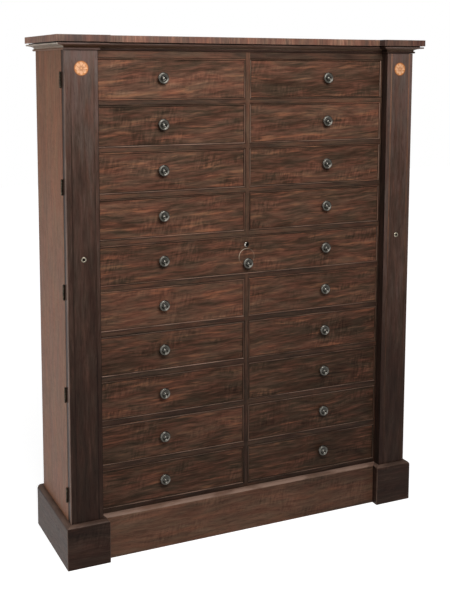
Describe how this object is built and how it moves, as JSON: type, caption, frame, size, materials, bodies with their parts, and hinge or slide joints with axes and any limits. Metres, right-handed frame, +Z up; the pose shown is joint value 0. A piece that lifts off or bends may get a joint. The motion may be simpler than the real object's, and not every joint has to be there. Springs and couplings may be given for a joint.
{
  "type": "wellington chest",
  "caption": "Tall double-width mahogany wellington chest: two columns of small drawers round one wide drawer, between hinged locking pilasters, with a stepped cornice and plinth.",
  "frame": {"origin": "on the floor, in the middle of the chest's box", "axes": "+Z up, the drawers and knobs face -Y, +X to the right seen from the front"},
  "size_m": [1.183, 0.3416, 1.5],
  "materials": {
    "figured_mahogany": "french-polished figured mahogany veneer",
    "polished_mahogany": "polished straight-grained mahogany",
    "dark_mahogany": "dark polished mahogany",
    "pine": "bare planed softwood",
    "ebonised_wood": "turned, ebonised and polished",
    "aged_brass": "dull aged brass",
    "steel": "filed steel"
  },
  "bodies": {
    "carcass": {"plinth": "dark_mahogany", "side_panel_left": "polished_mahogany", "side_panel_right": "polished_mahogany", "back_panel": "pine", "drawer_frame_lower": "dark_mahogany", "drawer_frame_upper": "dark_mahogany", "cornice_moulding": "dark_mahogany", "top_board": "polished_mahogany", "hinge_left_lower": "aged_brass", "hinge_left_upper": "aged_brass", "hinge_right_lower": "aged_brass", "hinge_right_upper": "aged_brass"},
    "drawer_left_01": {"drawer_left_01": "figured_mahogany", "knob_left_01": "ebonised_wood"},
    "drawer_right_01": {"drawer_right_01": "figured_mahogany", "knob_right_01": "ebonised_wood"},
    "drawer_left_02": {"drawer_left_02": "figured_mahogany", "knob_left_02": "ebonised_wood"},
    "drawer_right_02": {"drawer_right_02": "figured_mahogany", "knob_right_02": "ebonised_wood"},
    "drawer_left_03": {"drawer_left_03": "figured_mahogany", "knob_left_03": "ebonised_wood"},
    "drawer_right_03": {"drawer_right_03": "figured_mahogany", "knob_right_03": "ebonised_wood"},
    "drawer_left_04": {"drawer_left_04": "figured_mahogany", "knob_left_04": "ebonised_wood"},
    "drawer_right_04": {"drawer_right_04": "figured_mahogany", "knob_right_04": "ebonised_wood"},
    "drawer_left_06": {"drawer_left_06": "figured_mahogany", "knob_left_06": "ebonised_wood"},
    "drawer_right_06": {"drawer_right_06": "figured_mahogany", "knob_right_06": "ebonised_wood"},
    "drawer_left_07": {"drawer_left_07": "figured_mahogany", "knob_left_07": "ebonised_wood"},
    "drawer_right_07": {"drawer_right_07": "figured_mahogany", "knob_right_07": "ebonised_wood"},
    "drawer_left_08": {"drawer_left_08": "figured_mahogany", "knob_left_08": "ebonised_wood"},
    "drawer_right_08": {"drawer_right_08": "figured_mahogany", "knob_right_08": "ebonised_wood"},
    "drawer_left_09": {"drawer_left_09": "figured_mahogany", "knob_left_09": "ebonised_wood"},
    "drawer_right_09": {"drawer_right_09": "figured_mahogany", "knob_right_09": "ebonised_wood"},
    "drawer_left_10": {"drawer_left_10": "figured_mahogany", "knob_left_10": "ebonised_wood"},
    "drawer_right_10": {"drawer_right_10": "figured_mahogany", "knob_right_10": "ebonised_wood"},
    "drawer_wide": {"drawer_wide": "figured_mahogany", "knob_wide_left": "ebonised_wood", "knob_wide_centre": "ebonised_wood", "knob_wide_right": "ebonised_wood", "lock_centre": "aged_brass"},
    "bolt_centre": {"bolt_centre": "steel"},
    "pilaster_left": {"pilaster_left": "dark_mahogany", "lock_left": "aged_brass"},
    "bolt_left": {"bolt_left": "steel"},
    "pilaster_right": {"pilaster_right": "dark_mahogany", "lock_right": "aged_brass"},
    "bolt_right": {"bolt_right": "steel"}
  },
  "joints": [
    {"name": "drawer_left_01_slide", "type": "slide", "parent": "carcass", "child": "drawer_left_01", "axis": [0, -1, 0], "range_m": [0, 0.2]},
    {"name": "drawer_right_01_slide", "type": "slide", "parent": "carcass", "child": "drawer_right_01", "axis": [0, -1, 0], "range_m": [0, 0.2]},
    {"name": "drawer_left_02_slide", "type": "slide", "parent": "carcass", "child": "drawer_left_02", "axis": [0, -1, 0], "range_m": [0, 0.2]},
    {"name": "drawer_right_02_slide", "type": "slide", "parent": "carcass", "child": "drawer_right_02", "axis": [0, -1, 0], "range_m": [0, 0.2]},
    {"name": "drawer_left_03_slide", "type": "slide", "parent": "carcass", "child": "drawer_left_03", "axis": [0, -1, 0], "range_m": [0, 0.2]},
    {"name": "drawer_right_03_slide", "type": "slide", "parent": "carcass", "child": "drawer_right_03", "axis": [0, -1, 0], "range_m": [0, 0.2]},
    {"name": "drawer_left_04_slide", "type": "slide", "parent": "carcass", "child": "drawer_left_04", "axis": [0, -1, 0], "range_m": [0, 0.2]},
    {"name": "drawer_right_04_slide", "type": "slide", "parent": "carcass", "child": "drawer_right_04", "axis": [0, -1, 0], "range_m": [0, 0.2]},
    {"name": "drawer_left_06_slide", "type": "slide", "parent": "carcass", "child": "drawer_left_06", "axis": [0, -1, 0], "range_m": [0, 0.2]},
    {"name": "drawer_right_06_slide", "type": "slide", "parent": "carcass", "child": "drawer_right_06", "axis": [0, -1, 0], "range_m": [0, 0.2]},
    {"name": "drawer_left_07_slide", "type": "slide", "parent": "carcass", "child": "drawer_left_07", "axis": [0, -1, 0], "range_m": [0, 0.2]},
    {"name": "drawer_right_07_slide", "type": "slide", "parent": "carcass", "child": "drawer_right_07", "axis": [0, -1, 0], "range_m": [0, 0.2]},
    {"name": "drawer_left_08_slide", "type": "slide", "parent": "carcass", "child": "drawer_left_08", "axis": [0, -1, 0], "range_m": [0, 0.2]},
    {"name": "drawer_right_08_slide", "type": "slide", "parent": "carcass", "child": "drawer_right_08", "axis": [0, -1, 0], "range_m": [0, 0.2]},
    {"name": "drawer_left_09_slide", "type": "slide", "parent": "carcass", "child": "drawer_left_09", "axis": [0, -1, 0], "range_m": [0, 0.2]},
    {"name": "drawer_right_09_slide", "type": "slide", "parent": "carcass", "child": "drawer_right_09", "axis": [0, -1, 0], "range_m": [0, 0.2]},
    {"name": "drawer_left_10_slide", "type": "slide", "parent": "carcass", "child": "drawer_left_10", "axis": [0, -1, 0], "range_m": [0, 0.2]},
    {"name": "drawer_right_10_slide", "type": "slide", "parent": "carcass", "child": "drawer_right_10", "axis": [0, -1, 0], "range_m": [0, 0.2]},
    {"name": "drawer_wide_slide", "type": "slide", "parent": "carcass", "child": "drawer_wide", "axis": [0, -1, 0], "range_m": [0, 0.2]},
    {"name": "bolt_centre_slide", "type": "slide", "parent": "drawer_wide", "child": "bolt_centre", "axis": [0, 0, 1], "range_m": [0, 0.006]},
    {"name": "pilaster_left_hinge", "type": "hinge", "parent": "carcass", "child": "pilaster_left", "pos_m": [-0.5673, -0.11455, 0.8], "axis": [0, 0, -1], "range_deg": [0, 170]},
    {"name": "bolt_left_slide", "type": "slide", "parent": "pilaster_left", "child": "bolt_left", "axis": [-1, 0, 0], "range_m": [0, 0.006]},
    {"name": "pilaster_right_hinge", "type": "hinge", "parent": "carcass", "child": "pilaster_right", "pos_m": [0.5673, -0.11455, 0.8], "axis": [0, 0, 1], "range_deg": [0, 170]},
    {"name": "bolt_right_slide", "type": "slide", "parent": "pilaster_right", "child": "bolt_right", "axis": [1, 0, 0], "range_m": [0, 0.006]}
  ]
}
